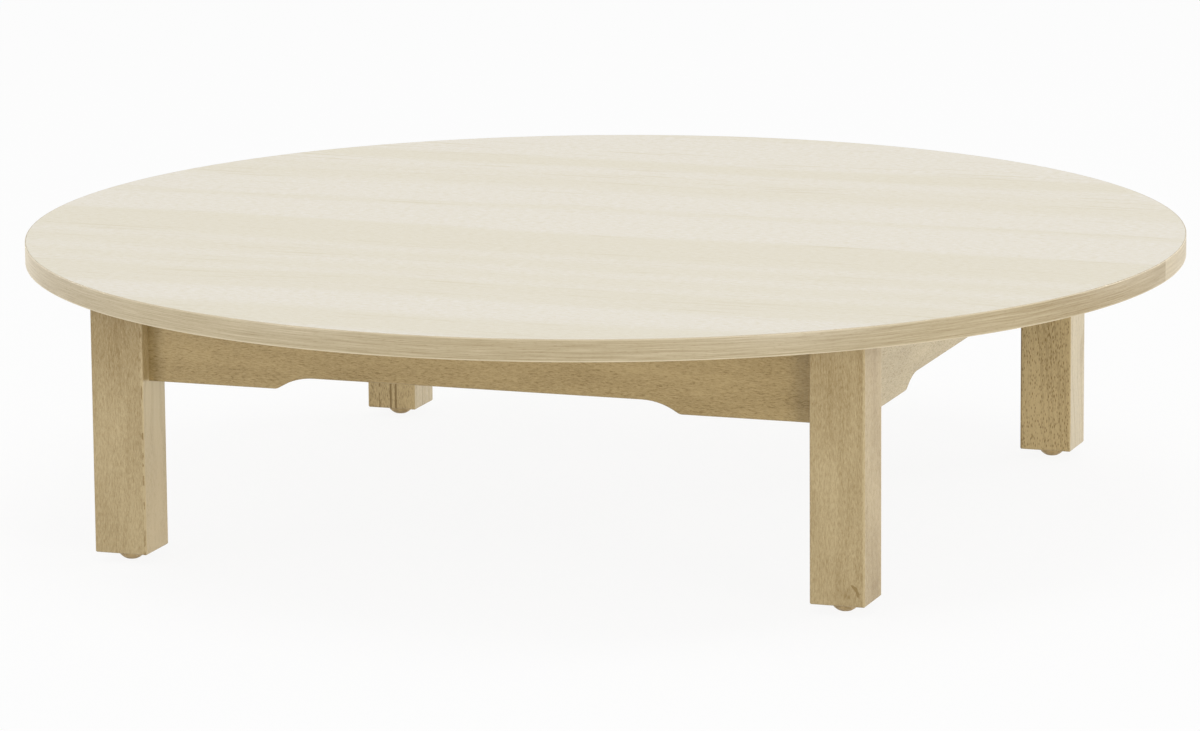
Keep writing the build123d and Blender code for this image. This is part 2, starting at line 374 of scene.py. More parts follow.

# %% [markdown]
# ## Painted light on one side
#
# The right-hand face of a leg meets the lamps and their sheen at another angle than its front, so
# its tone is painted. Beyond an X its deepness changes by a given amount: painted shade where it
# grows, painted light where it falls. A share of a pale tone paints light and sheen over it, and can
# rise from low down to high up, where the top would shade it. Above a given height the face can be
# painted deeper again: painted shade where the apron and the top shelter it. A second material would
# end in a hard line, so the pale tone is a share, mixed over the rest, that late wood and glue lines
# show through.

# %% Painted light and shade on a leg's right-hand face
# Pale and warm tones painted over a right-hand face as light and sheen, rising over these heights;
# above a given height the face is painted deeper as shade.
sapwood = colour(186, 175, 148)
warm_painted_side_light = colour(203, 187, 149)
side_light_start, side_light_end = 60, 200
side_shade_blend = 4


def side_light_and_shade(finish, place, late_wood, glue_lines, figure):
    """How much deeper the side beyond an X is painted, and its share of a pale tone: painted light,
    sheen and shade on that face.
    """
    side_x, change = figure["side"]
    below, above, _ = figure["sapwood"]
    side_shade_height, side_shade_change = figure["heartwood"]
    # Painted light and sheen on the right-hand face, and painted shade above a given height.
    on_side = finish.step(place["X"], side_x - 1, side_x)
    heart = finish.step(place["Z"], side_shade_height, side_shade_height + side_shade_blend)
    share = below + finish.step(place["Z"], side_light_start, side_light_end) * (above - below)
    share = share * (1 - heart) * (1.25 - late_wood * 0.5 - glue_lines)
    return on_side * (change + heart * side_shade_change), on_side * share


print("sapwood is", [round(part, 2) for part in sapwood[:3]], "in linear light")

# %% [markdown]
# ## A board of beech
#
# Now the marks come together. Everything that darkens the wood, painted shade included, is added up
# to one number, `deepness`, and that number mixes a pale and a deep tone. One sum is easier to
# balance than a stack of layers: each mark's strength is a plain number beside it. What a figure
# leaves out comes from a bare one, whose painted shade on the side begins only where a leg ends.

# %% Beech
cloud_size = (110, 26, 26)
pores_per_mm, pore_size = (0.17, 0.60, 0.60), 0.38
figure_depth = 0.04
leg_top = box_mm("leg_front_left")[1][2]
# A bare figure's painted shade on the side would begin only at a leg's top, so it paints none.
bare_figure = {"pores": 0.0, "deeper": 0.0, "top": 0.0, "seams": (),
               "sapwood": (0.0, 0.0, sapwood), "heartwood": (leg_top, 0.0)}


def beech(name, grain, shift, tones, figure, box=None):
    """Solid beech.

    grain is the axis along the board and shift the board's own place in the tree, in millimetres.
    tones are its pale and its deep colour. figure gives the strength of the fleck and the rings,
    and may give that of open pores, make all of the board deeper or paint shade on the top of its
    front, and add seams and a knot as (start, way). It may paint the side beyond an X deeper as
    (X, how much deeper), mix painted light and sheen over it as (share low down, share high up,
    tone), and paint shade on it above a height as (height, how much deeper). box, a leg's two
    corners, paints a highlight on its right-hand edges.
    """
    finish = Finish(name)
    figure = {**bare_figure, **figure}
    place = dict(zip("XYZ", finish.place()))
    order = {"X": "XYZ", "Y": "YXZ", "Z": "ZXY"}[grain]
    board_place = [place[axis] + moved for axis, moved in zip(order, shift)]

    swell, bark = 0.0, 0.0
    if "knot" in figure:
        swell, bark = knot_marks(finish, place.values(), *figure["knot"])
    late_wood, flecks, fibre = beech_grain(finish, board_place, swell)
    cloud = finish.noise(spread(board_place, cloud_size), 1.0)
    pore_place = [part * per_mm for part, per_mm in zip(board_place, pores_per_mm)]
    pores = finish.specks(pore_place, pore_size) * figure["pores"]
    glue_lines = glue_line_marks(finish, place, board_place, fibre, figure["seams"])

    deepness = 0.20 + figure["deeper"] + (cloud - 0.5) * 0.8 + (fibre - 0.5) * 2.0
    deepness = deepness + late_wood * figure["rings"] + flecks * figure["fleck"]
    deepness = deepness + pores + bark + glue_lines
    # On a leg: a painted highlight on its right-hand edges and painted shade at the top of its front.
    if box:
        deepness = deepness + painted_edge_and_top_light(finish, place, fibre, box, figure["top"])
    # Painted light, sheen and shade on a leg's right-hand face.
    if "side" in figure:
        change, share = side_light_and_shade(finish, place, late_wood, glue_lines, figure)
        tone = finish.mix(share, finish.mix(deepness + change, *tones), figure["sapwood"][-1])
    else:
        tone = finish.mix(deepness, *tones)
    height = flecks * -0.5 + fibre * 0.5 - pores
    return finish.set(Base_Color=tone, Roughness=0.36 + flecks * 0.12,
                      Normal=finish.bump(height, figure_depth), IOR=1.5, Specular_IOR_Level=0.5)


print("the figure is", figure_depth, "mm deep")

# %% [markdown]
# ## A finish on a solid
#
# A solid's shape is measured and final, so nothing here moves it or edits it. A new shape over it
# would only repeat it. What changes is its material: its slots are emptied and take one finish.

# %% Put a finish on a solid
def finish_node(node, material):
    """Gives a solid one material in place of all that it has."""
    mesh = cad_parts[node].data
    mesh.materials.clear()
    mesh.materials.append(material)


print("solids wait for a finish:", len(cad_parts))

# %% [markdown]
# ## The four legs
#
# Each leg was sawn from another place in the tree, so each gets its own shift and its own figure;
# one wood on all would look printed. The front left one has a glue line, and beyond it a right-hand
# face painted paler towards the top, a painted light, which turns to painted shade level with the
# apron's lower edge. The front right one has a small knot near its foot, and its right-hand face is
# painted deeper, a painted shade. The back right one is full of open pores, and its right-hand face
# is painted deeper and greyer: painted shade and painted sheen. The back left one shows the lines
# between its staves, and its right-hand face is painted greyer, a painted sheen. The two front legs
# are painted deeper at the top of their fronts: painted shade under the table's top.

# %% Finish the legs
leg_low, leg_high = box_mm("leg_front_right")
leg_middle, leg_outer = (leg_low[0] + leg_high[0]) / 2, leg_high[0]
leg_inner = box_mm("leg_front_left")[1][0]
apron_bottom = box_mm("apron_front")[0][2]
leg_tones = (colour(181, 162, 122), colour(135, 112, 66))
back_leg_tones = (colour(188, 166, 120), colour(128, 104, 56))
knot_inset, knot_height = 16.4, 23
knot = ((leg_outer - knot_inset, -leg_outer, knot_height), (knot_inset, 33, 3))
# Each leg's side entries paint light, sheen and shade on its right-hand face, and top paints shade at
# the top of its front.
leg_boards = {
    "front_left": ((130, 20, 400), leg_tones, {
        "fleck": 0.26, "rings": 0.10, "deeper": 0.10, "top": 0.34,
        "side": (leg_inner, -0.32), "sapwood": (0.0, 0.70, warm_painted_side_light),
        "heartwood": (apron_bottom, 0.45),
        "seams": (("X", leg_inner - 1.5, 1.3, 1.0, 0.53),)}),
    "front_right": ((900, 260, 90), leg_tones, {
        "fleck": 0.26, "rings": 0.08, "deeper": 0.02, "top": 0.24,
        "side": (leg_outer, 0.24), "knot": knot}),
    "back_right": ((310, 520, 240), back_leg_tones, {
        "fleck": 0.20, "rings": 0.24, "deeper": -0.13, "pores": 1.0,
        "side": (leg_outer, 0.28), "sapwood": (0.55, 0.5, sapwood),
        "seams": (("X", leg_outer - 55.5, 1.5, 1.2, 0.3),)}),
    "back_left": ((700, 150, 610), back_leg_tones, {
        "fleck": 0.35, "rings": 0.16, "deeper": -0.08, "pores": 0.5,
        "side": (leg_inner, 0.0), "sapwood": (0.45, 0.45, sapwood),
        "seams": (("X", -leg_middle - 1, 1.8, 1.3, 0.1), ("X", -leg_middle + 5, 1.8, 1.3, 0.1),
                  ("X", -leg_middle - 14, 1.2, 0.9, 0.4), ("Y", leg_middle - 5, 1.2, 0.8, 0.1))}),
}
for corner, board in leg_boards.items():
    leg = f"leg_{corner}"
    finish_node(leg, beech(f"beech leg {corner}", "Z", *board, box_mm(leg)))
print("finished", len(leg_boards), "legs,", round(leg_high[0] - leg_low[0]), "mm square")

# %% [markdown]
# ## The four aprons
#
# An apron is one flat board on edge, with its grain lengthways. Three of them are a deeper tan than
# the legs, and the right one is painted paler and greyer: a painted sheen where it faces the lamps
# at a slant. They need no knot and no seams, only a stronger fleck, because the saw cut them nearer
# to the rays.

# %% Finish the aprons
apron_tones = (colour(168, 146, 100), colour(121, 98, 50))
# The right apron's paler, greyer tones are a painted sheen.
painted_sheen_apron_tones = (colour(175, 159, 122), colour(130, 112, 72))
apron_boards = {
    "front": ("X", (50, 800, 330), apron_tones, {"fleck": 0.44, "rings": 0.06}),
    "right": ("Y", (470, 220, 510), painted_sheen_apron_tones, {"fleck": 0.40, "rings": 0.08, "deeper": 0.05}),
    "back": ("X", (860, 640, 120), apron_tones, {"fleck": 0.50, "rings": 0.15}),
    "left": ("Y", (240, 930, 740), apron_tones, {"fleck": 0.50, "rings": 0.15}),
}
for side, board in apron_boards.items():
    finish_node(f"apron_{side}", beech(f"beech apron {side}", *board))
print("finished", len(apron_boards), "aprons")

# %% [markdown]
# ## The pale top sheet
#
# The top is faced with a thin sheet of bleached veneer. Sliced veneer is laid in broad leaves, so
# the tone shifts a little from leaf to leaf, and inside a leaf it runs in long faint streaks. Noise
# that depends on one distance makes the leaves, and noise stretched far more along the grain than
# across it makes the streaks. The sheet is left nearly matt, as such tops are, and is painted a
# little paler towards the back: a painted sheen.

# %% Veneer for the top and the underside
leaf_width = 120
leaf_drift, drift_length, drift_width = 70, 520, 300
streak_length, streak_width = 190, 7
grain_length, grain_width = 9, 2.2
# How fast the sheet is painted paler towards the back: a painted sheen.
painted_sheen_per_mm = 1 / 8000


def veneer(name, plain, rosy, grey):
    """A bleached veneer: leaves that run along X, with fine streaks and faint pores, and a painted
    sheen towards the back.
    """
    finish = Finish(name)
    x, y, _ = finish.place()
    drift = finish.noise((x / drift_length, y / drift_width, 0.0), 1.0) * leaf_drift
    leaves = finish.lines((y + drift) / leaf_width, 1.0)
    streaks = finish.noise((x / streak_length, (y + drift) / streak_width, 0.0), 3.0, 0.6)
    grain = finish.noise((x / grain_length, y / grain_width, 0.0), 3.0, 0.85)
    # The share that grows with y paints the sheet paler towards the back: a painted sheen.
    rosiness_and_sheen = finish.step(leaves + (streaks - 0.5) * 0.12 + y * painted_sheen_per_mm, 0.41, 0.57)
    near_join = 1.0 - finish.step(finish.maths("ABSOLUTE", leaves - 0.46), 0.02, 0.12)
    streakiness = finish.step(streaks, 0.55, 0.72) * (0.25 + near_join * 0.75)
    tone = finish.mix(streakiness, finish.mix(rosiness_and_sheen, plain, rosy), grey)
    tone = finish.mix(0.3 + (grain - 0.5) * 2.8, tone, grey)
    return finish.set(Base_Color=tone, Roughness=0.62 + (grain - 0.5) * 0.08,
                      Normal=finish.bump(grain, 0.01), IOR=1.5, Specular_IOR_Level=0.22)


bleached = (colour(244, 238, 222), colour(249, 244, 234), colour(230, 221, 196))
plain_backing = (colour(218, 206, 182), colour(226, 215, 194), colour(203, 190, 163))
finish_node("top_sheet", veneer("bleached veneer", *bleached))
finish_node("backing_sheet", veneer("backing veneer", *plain_backing))
print("veneered both faces in leaves about", leaf_width, "mm wide")

# %% [markdown]
# ## The board between the sheets
#
# The core is chipboard: flat chips pressed together, seen only inside the bored holes. Noise that
# changes nearly three times faster through the board than along it gives flat chips of mixed tans.

# %% Chipboard
chip_size = (2.5, 2.5, 0.9)
pressed = Finish("pressed chips")
chips = pressed.noise(spread(pressed.place(), chip_size), 3.0, 0.7)
chip_tones = (colour(196, 164, 118), colour(142, 104, 66))
pressed.set(Base_Color=pressed.mix(pressed.step(chips, 0.35, 0.65), *chip_tones), Roughness=0.8,
            Normal=pressed.bump(chips, 0.15))
finish_node("top_core", pressed.owner)
print("finished the core")

# %% [markdown]
# ## Plated steel
#
# The fittings under the top are pressed and turned steel with a thin coat of zinc, which dries in a
# faint crystal bloom; the screws have a yellower coat. Bare metal would be one flat grey. Cloudy
# noise in both the tone and the roughness makes it read as plating.

# %% Finish the metal fittings
bloom_size = (4, 4, 4)


def plated(name, bright, dull):
    """Zinc-plated steel with a faint bloom."""
    finish = Finish(name)
    bloom = finish.noise(spread(finish.place(), bloom_size), 3.0, 0.65)
    tone = finish.mix(finish.step(bloom, 0.38, 0.64), bright, dull)
    return finish.set(Base_Color=tone, Metallic=1.0, Roughness=0.30 + bloom * 0.22,
                      Normal=finish.bump(bloom, 0.02))


zinc = plated("zinc plating", colour(205, 207, 208), colour(184, 186, 187))
yellow_zinc = plated("yellow zinc plating", colour(214, 198, 146), colour(178, 160, 104))
zinc_fittings = ("corner_plate", "brackets", "hanger_bolt", "washer", "nut",
                 "foot_insert", "foot_stem")
screw_sets = ("corner_plate_screws", "bracket_screws")
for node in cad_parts:
    if node in screw_sets:
        finish_node(node, yellow_zinc)
    elif node.startswith(zinc_fittings):
        finish_node(node, zinc)
print("plated", " and ".join(screw_sets), "yellower than the rest")

# %% [markdown]
# ## Moulded feet
#
# The feet are moulded plastic, coloured like the wood so that they do not show. A mould's walls are
# spark-eroded, which leaves a fine matt skin: a bump much finer than anything else here. Broad
# noise scuffs it.

# %% Finish the feet
sparks_per_mm = 2.2
scuff_size = (5, 5, 5)
moulded = Finish("foot plastic")
place = moulded.place()
sparks = moulded.noise([part * sparks_per_mm for part in place])
scuff = moulded.noise(spread(place, scuff_size), 3.0, 0.65)
foot_tones = (colour(184, 160, 114), colour(160, 136, 90))
moulded.set(Base_Color=moulded.mix(moulded.step(scuff, 0.40, 0.66), *foot_tones),
            Roughness=0.40 + scuff * 0.15, Normal=moulded.bump(sparks, 0.03))
corners = ["front_left", "front_right", "back_right", "back_left"]
for corner in corners:
    finish_node(f"foot_pad_{corner}", moulded.owner)
print("moulded", len(corners), "feet")

# %% [markdown]
# ## Pieces that are worked out, not drawn
#
# A rim strip, a thread or a screw head could be sculpted or spun by hand, but each is really a
# rule: a section carried along a circle, a ridge that climbs one pitch for each turn, a cross
# sunk into a dome. So each new piece here is a grid of points computed by numpy in one go, and
# `skin` joins its neighbours into faces. Columns go once round and close on themselves; rows
# either close too, as on a ring, or end in a cap, as on a rod.

# %% Grids of points become closed skins
def skin(points, ends):
    """Faces over rows and columns of points: each four neighbours make one quad.

    ends is "joined", as on a ring, or "capped", where the first and the last row get one face each.
    Columns that turn left and rows that climb face outwards.
    """
    rows, columns = points.shape[:2]
    joined_rows = np.arange(rows - 1 if ends == "capped" else rows)
    row, column = np.meshgrid(joined_rows, np.arange(columns), indexing="ij")
    next_row, next_column = (row + 1) % rows, (column + 1) % columns
    quads = [row * columns + column, row * columns + next_column,
             next_row * columns + next_column, next_row * columns + column]
    faces = np.stack(quads, axis=-1).reshape(-1, 4).tolist()
    if ends == "capped":
        faces.append(list(range(columns))[::-1])
        faces.append(list(range((rows - 1) * columns, rows * columns)))
    return points.reshape(-1, 3), faces


cube_faces = skin(np.zeros((2, 4, 3)), "capped")[1]
print("a cube, 2 rows and 4 columns, has", len(cube_faces), "faces")

# %% [markdown]
# ## From skin to object
#
# A finished piece is an object at the origin, with its place in its mesh, like the solids it
# joins. It rides on a body, so it moves when that body does. Edges sharper than 38 degrees stay
# crisp and the rest are shaded smooth.

# %% Skins become pieces
sharp_angle = math.radians(38)


def add_piece(name, shells, material, body, strip_map=None):
    """One object from one or more closed skins; strip_map is a UV place for each point."""
    points, faces, count = [], [], 0
    for shell_points, shell_faces in shells:
        points.append(shell_points)
        faces.extend([[corner + count for corner in face] for face in shell_faces])
        count += len(shell_points)
    mesh = bpy.data.meshes.new(name)
    mesh.from_pydata(np.concatenate(points) * MM, [], faces)
    mesh.shade_smooth()
    mesh.set_sharp_from_angle(angle=sharp_angle)
    if strip_map is not None:
        corner_points = np.empty(len(mesh.loops), dtype=np.int32)
        mesh.loops.foreach_get("vertex_index", corner_points)
        mesh.uv_layers.new(name="strip").data.foreach_set("uv", strip_map[corner_points].ravel())
    mesh.materials.append(material)
    piece = bpy.data.objects.new(name, mesh)
    bpy.context.scene.collection.objects.link(piece)
    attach(piece, body)
    print(name, "has", len(mesh.polygons), "faces")
    return piece


print("edges over", round(math.degrees(sharp_angle)), "degrees stay sharp")

# %% [markdown]
# ## The strip's section
#
# The rim is covered by a thin strip of beech veneer, bent round the board and glued. Its section
# is a long thin rectangle whose two outer corners were eased with sandpaper. A Bevel modifier
# could round them, but the section is only a handful of points: two quarter circles and the two
# square corners inside, each with its radius and its height. It fills the same space as the plain
# band that it stands for.

# %% The strip's section
strip_thickness = 1.0
strip_arris = 0.5
arris_steps = 7
strip_low, strip_high = box_mm("edge_band")
strip_radius = min(-strip_low[0], -strip_low[1], strip_high[0], strip_high[1])
turn = np.linspace(0, np.pi / 2, arris_steps)
top_arc = np.stack([strip_radius - strip_arris * (1 - np.sin(turn)),
                    strip_high[2] - strip_arris * (1 - np.cos(turn))])
bottom_arc = np.stack([top_arc[0, ::-1], strip_low[2] + strip_high[2] - top_arc[1, ::-1]])
inside = strip_radius - strip_thickness
section = np.concatenate([[[inside], [strip_high[2]]], top_arc, bottom_arc,
                          [[inside], [strip_low[2]]]], axis=1)
strip_width = round(strip_high[2] - strip_low[2], 1)
print("the strip is", strip_width, "mm wide on a radius of", round(strip_radius, 1))

# %% [markdown]
# ## Carry the section round the rim
#
# The strip's two ends are butted together on the right, and a hair's breadth stays open between
# them. So the section is not closed on itself: it is carried along the circle, at radius times the
# cosine and sine of each angle, from one side of the gap to the other and capped. A pattern on X, Y
# and Z would cut across a bent strip, so the piece gets its own UV map, which measures the way
# along it and the way round its section.

# %% Carry the section round the rim
seam_angle = math.radians(-1.0)
seam_gap = 0.3
strip_steps = 721
start = seam_angle + seam_gap / strip_radius / 2
end = seam_angle + 2 * np.pi - seam_gap / strip_radius / 2
angle = np.linspace(start, end, strip_steps)[:, None]
level = np.broadcast_to(section[1], (strip_steps, section.shape[1]))
points = np.stack([section[0] * np.cos(angle), section[0] * np.sin(angle), level], axis=-1)
strip_shell = skin(points, "capped")
round_section = np.cumsum(np.hypot(*np.diff(section, axis=1, prepend=section[:, :1])))
along = (angle - angle[0]) * strip_radius
strip_map = np.stack(np.broadcast_arrays(along, round_section), axis=-1).reshape(-1, 2) * MM
print("the strip is", round(strip_map[:, 0].max(), 3), "m long")

# %% [markdown]
# ## The strip's veneer
#
# Veneer this long is cut along the trunk, so its lines run with it and its tone drifts slowly from
# end to end; where the ends meet, the two tones differ and give the seam away. The slow drift is a
# short list of changes, each over its own stretch in millimetres from the seam; besides the veneer's
# own drift, some of them paint light and shade where the lamps and their sheen fall unevenly round
# the rim. The eased corners are paler, partly where the sandpaper went through the stain and partly
# a painted highlight where they catch the light.

# %% Finish and add the strip
# The veneer's drift and the seam, together with painted light and painted shade round the rim.
drift_and_painted_light = ((420, 200, 0.40), (3380, 3600, 0.23), (2330, 2150, -0.40), (2880, 2600, -0.16),
                (2520, 2400, 0.12))
drift_length, band_length, line_length, fleck_length = 300, 200, 60, 6
bands_per_mm, lines_per_mm, flecks_across_per_mm = 0.45, 1.3, 1.4
drift_reach = 6
line_slice, fleck_slice = 7, 3
eased_start, eased_end, sanding_and_highlight = 1.8, 0.4, 0.42
rim_tones = (colour(204, 190, 160), colour(120, 98, 50))
rim = Finish("rim veneer")
along, across, _ = rim.millimetres(rim.node("ShaderNodeUVMap", {"uv_map": "strip"}))
drift = rim.noise((along / drift_length, 0.0, 0.0))
drifted = across + drift * drift_reach
bands = rim.noise((along / band_length, drifted * bands_per_mm, line_slice), 1.0)
lines = rim.noise((along / line_length, drifted * lines_per_mm, line_slice), 3.0, 0.65)
fleck = rim.noise((along / fleck_length, across * flecks_across_per_mm, fleck_slice))
fleck = rim.step(fleck, 0.54, 0.72)
height = rim.place()[2]
from_edge = rim.maths("MINIMUM", strip_high[2] - height, height - strip_low[2])
deepness = 0.43 + (drift - 0.5) * 0.12 + (bands - 0.5) * 0.40 + (lines - 0.5) * 1.15
deepness = deepness + fleck * 0.15
# The eased corners: sanding, together with a painted highlight.
deepness = deepness - rim.step(from_edge, eased_start, eased_end) * sanding_and_highlight
for start, end, change in drift_and_painted_light:
    deepness = deepness + rim.step(along, start, end) * change
rim.set(Base_Color=rim.mix(deepness, *rim_tones), Roughness=0.36 + fleck * 0.1,
        Normal=rim.bump(lines, 0.03), IOR=1.5, Specular_IOR_Level=0.32)
strip = add_piece("rim_strip", [strip_shell], rim.owner, "table", strip_map)
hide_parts("edge_band")

# %% [markdown]
# ## Spinning, standing and repeating
#
# Bolts, nuts and screws are all made upright at the origin, where their rule is simplest, and then
# moved to their place by arithmetic on their points. Objects could be turned instead, but a turned
# object would carry its pattern with it. The four corners are the same corner, turned by quarters,
# so what is made for one is added to all four.

# %% Spin, stand and repeat
def turned(radii, heights, columns):
    """A profile of radii and heights spun about Z; radii may also vary from column to column."""
    angle = np.arange(columns) / columns * 2 * np.pi
    radii = np.broadcast_to(np.reshape(radii, (len(heights), -1)), (len(heights), columns))
    level = np.broadcast_to(np.reshape(heights, (-1, 1)), radii.shape)
    return np.stack([radii * np.cos(angle), radii * np.sin(angle), level], axis=-1)


def stood_on(points, origin, axis, side):
    """Points made about Z, moved to an axis through origin; their X goes to side."""
    up = Vector(axis).normalized()
    first = Vector(side).normalized()
    return points @ np.array([first, up.cross(first), up]) + np.array(origin)


def turned_left(points, cosine, sine):
    """Points turned left about Z by the angle with this cosine and sine."""
    return points @ np.array([[cosine, sine, 0], [-sine, cosine, 0], [0, 0, 1]])


def quarter_turn(points, quarters):
    """Points turned round the table by whole quarters."""
    return turned_left(points, *[(1, 0), (0, 1), (-1, 0), (0, -1)][quarters])


def add_at_corners(name, points, ends, solid, on_foot=False):
    """One piece for each corner's solid, riding on the table or on that corner's foot."""
    for quarters, corner in enumerate(corners):
        shell = skin(quarter_turn(points, quarters), ends)
        body = f"foot_{corner}" if on_foot else "table"
        piece = add_piece(f"{name}_{corner}", [shell], zinc, body)
        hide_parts(f"{solid}_{corner}")


print("a point on the right goes to", quarter_turn(np.array([1, 0, 0]), 1), "in a quarter turn")

# %% [markdown]
# ## Threads
#
# A screw thread is a ridge that climbs one pitch for every turn. On a grid of angle and height the
# radius is the rod's radius less a saw-tooth of (height / pitch - angle / one turn), so the ridge
# closes on itself without a seam. Only a length that can show gets the fine rows: the part of a
# bolt that is in the leg stays plain, which saves thousands of faces that nobody can see.

# %% A threaded rod
thread_pitch = 1.25
thread_depth = 0.7
rod_chamfer = 0.8
rod_columns = 32
rows_per_turn = 8
thread_runout = 0.1


def threaded_rod(radius, start, thread_start, end):
    """Points of a rod about Z: plain up to thread_start, then a thread that climbs to the end."""
    rows = np.arange(thread_start, end, thread_pitch / rows_per_turn)
    height = np.concatenate([[start, thread_start - thread_runout], rows, [end]])[:, None]
    turns = np.arange(rod_columns) / rod_columns
    saw = np.abs(2 * np.mod(height / thread_pitch - turns, 1) - 1)
    cut = np.where(height < thread_start, 0, thread_depth * saw)
    chamfered = radius - rod_chamfer + np.minimum(end - height, height - start)
    return turned(np.minimum(radius - cut, chamfered), height[:, 0], rod_columns)


print("the thread is", thread_depth, "mm deep and climbs", thread_pitch, "mm a turn")

# %% [markdown]
# ## The corner bolts
#
# A hanger bolt runs from the inside of each leg through the corner plate, along the corner's
# diagonal, and its nut pulls the joint tight. The box of the plain solid tells where it lies: its
# height is the bolt's diameter, and its width is the length and the diameter, both seen at 45
# degrees. The thread starts at the washer, because the rest is inside the leg.

# %% Add the corner bolts
def diagonal_rod(node):
    """Middle, radius and length, in millimetres, of a round piece on a corner's diagonal."""
    low, high = box_mm(node)
    radius = (high[2] - low[2]) / 2
    return (low + high) / 2, radius, (high[0] - low[0]) * math.sqrt(2) - 2 * radius


upright = (0, 0, 1)
inward = np.array([1, 1, 0]) / math.sqrt(2)
bolt_middle, bolt_radius, bolt_length = diagonal_rod("hanger_bolt_front_left")
washer_middle, _, washer_thickness = diagonal_rod("washer_front_left")
visible_from = float((washer_middle - bolt_middle) @ inward)
bolt = threaded_rod(bolt_radius, -bolt_length / 2, visible_from, bolt_length / 2)
bolt = stood_on(bolt, bolt_middle, inward, upright)
add_at_corners("threaded_bolt", bolt, "capped", "hanger_bolt")
print("bolts", round(bolt_length, 1), "mm long and", round(bolt_radius * 2, 1), "mm thick")

# %% [markdown]
# ## The feet's stems
#
# Each foot screws into its leg on a threaded stem. With the feet screwed out a few millimetres for
# an uneven floor, the thread shows, so it starts right above the pad. Each stem rides on its own
# foot and not on the table, or it would stay behind when the foot moves.

# %% Add the feet's stems
stem_low, stem_high = box_mm("foot_stem_front_left")
pad_top = box_mm("foot_pad_front_left")[1][2]
stem = threaded_rod((stem_high[0] - stem_low[0]) / 2, stem_low[2], pad_top, stem_high[2])
stem += np.array([(stem_low[0] + stem_high[0]) / 2, (stem_low[1] + stem_high[1]) / 2, 0])
add_at_corners("threaded_stem", stem, "capped", "foot_stem", on_foot=True)
print("stems", round(stem_high[2] - stem_low[2], 1), "mm long")

# %% [markdown]
# ## Nuts
#
# A nut is a hexagon that was chamfered on a lathe, which leaves six little curved corners on each
# face. Both shapes are radii: the hexagon's depends on the angle, the chamfer cone's on the
# height, and the nut is the smaller of the two. The rows then run back down the bore and close.

# %% Add the chamfered nuts
nut_flats = 13
chamfer_start = 0.96
chamfer_rows = np.array([0, 0.15, 0.3, 0.45, 0.6, 0.8])
bore_clearance = 0.1
nut_columns = 72


def chamfered_nut(height):
    """Points of a nut about Z: the smaller radius of hexagon and cone, and back down the bore."""
    angle = np.arange(nut_columns) / nut_columns * 2 * np.pi
    hexagon = nut_flats / 2 / np.cos(np.mod(angle, np.pi / 3) - np.pi / 6)
    levels = np.concatenate([chamfer_rows, height - chamfer_rows[::-1]])
    rise = np.minimum(levels, height - levels)[:, None]
    cone = nut_flats / 2 * chamfer_start + rise * math.sqrt(3)
    bore = np.full((2, nut_columns), bolt_radius + bore_clearance)
    radii = np.concatenate([np.minimum(hexagon, cone), bore])
    return turned(radii, np.concatenate([levels, [height, 0]]), nut_columns)


nut_middle, _, _ = diagonal_rod("nut_front_left")
nut_height = float(((washer_middle - nut_middle) @ -inward) * 2 - washer_thickness)
nut = chamfered_nut(nut_height) - np.array([0, 0, nut_height / 2])
nut = stood_on(nut, nut_middle, inward, upright)
add_at_corners("chamfered_nut", nut, "joined", "nut")
print("nuts", round(nut_height, 2), "mm high on bolts of radius", round(bolt_radius, 2), "mm")

# %% [markdown]
# ## A screw with a cross in its head
#
# The wood screws have pan heads with a cross recess. The head is a profile spun about its axis,
# and the recess is a depth taken off wherever a point lies within half a slot's width of one of
# two crossing lines and near enough to the middle. Cutting the cross with a Boolean would leave
# long thin faces; pressing it into the grid of points keeps them even.

# %% A screw with a cross in its head
screw_radius = 2.0
screw_length = 15.0
screw_point = 3.0
head_radius = 4.0
head_height = 2.4
recess_reach = 2.1
recess_half_slot = 0.5
recess_depth = 1.5
recess_blur = 0.12
screw_columns = 48
crown = np.array([0.05, 0.3, 0.6, 0.9, 1.2, 1.5, 1.8, 2.0, 2.2, 2.5, 3.0, 3.4, 3.7, 3.93,
                  head_radius])
crown_fullness = 0.94


def smooth(value, start, end):
    """0 below start, 1 above end, and an easy curve between."""
    share = np.clip((value - start) / (end - start), 0, 1)
    return share * share * (3 - 2 * share)


def cross_screw(twist):
    """Points of a screw about Z, from the middle of its head at negative Z down to its point.

    The head is flatter than a ball: its height goes by the root of 1 less most of radius to the
    fourth power, and the part left out gives the rim its thickness.
    """
    crown_height = -head_height * np.sqrt(1 - (crown / head_radius) ** 4 * crown_fullness)
    radii = np.concatenate([crown, [head_radius - 0.1, screw_radius, screw_radius, crown[0]]])
    heights = np.concatenate([crown_height, [0, 0, screw_length - screw_point, screw_length]])
    angle = np.arange(screw_columns) / screw_columns * 2 * np.pi
    to_arm = np.abs(np.mod(angle + np.pi / 4, np.pi / 2) - np.pi / 4)
    beside = radii[:, None] * np.sin(to_arm)
    in_slot = smooth(beside, recess_half_slot + recess_blur, recess_half_slot - recess_blur)
    sunk = in_slot * smooth(radii, recess_reach + 0.1, 0.4)[:, None] ** 0.5
    sunk[len(crown):] = 0
    points = turned(radii, heights, screw_columns)
    points[..., 2] += sunk * recess_depth
    return turned_left(points, math.cos(twist), math.sin(twist))


print("a screw has", cross_screw(0.0).size // 3, "points")

# %% [markdown]
# ## Where the screws sit
#
# Sixteen screws hold the corner plates and sixteen the angle brackets. Each seat is measured from
# the box of the piece that it holds: a point under the head, the way the screw drives, and the way
# that its cross would face unturned. Each screw stops at its own angle, as driven screws do, so
# the crosses are turned by a seeded random draw.

# %% Add the screws
plate_thickness = 2.0
half_wing, screw_rise = 12, 17
bracket_half, bracket_screw = 11, 15
draw = np.random.default_rng(7)


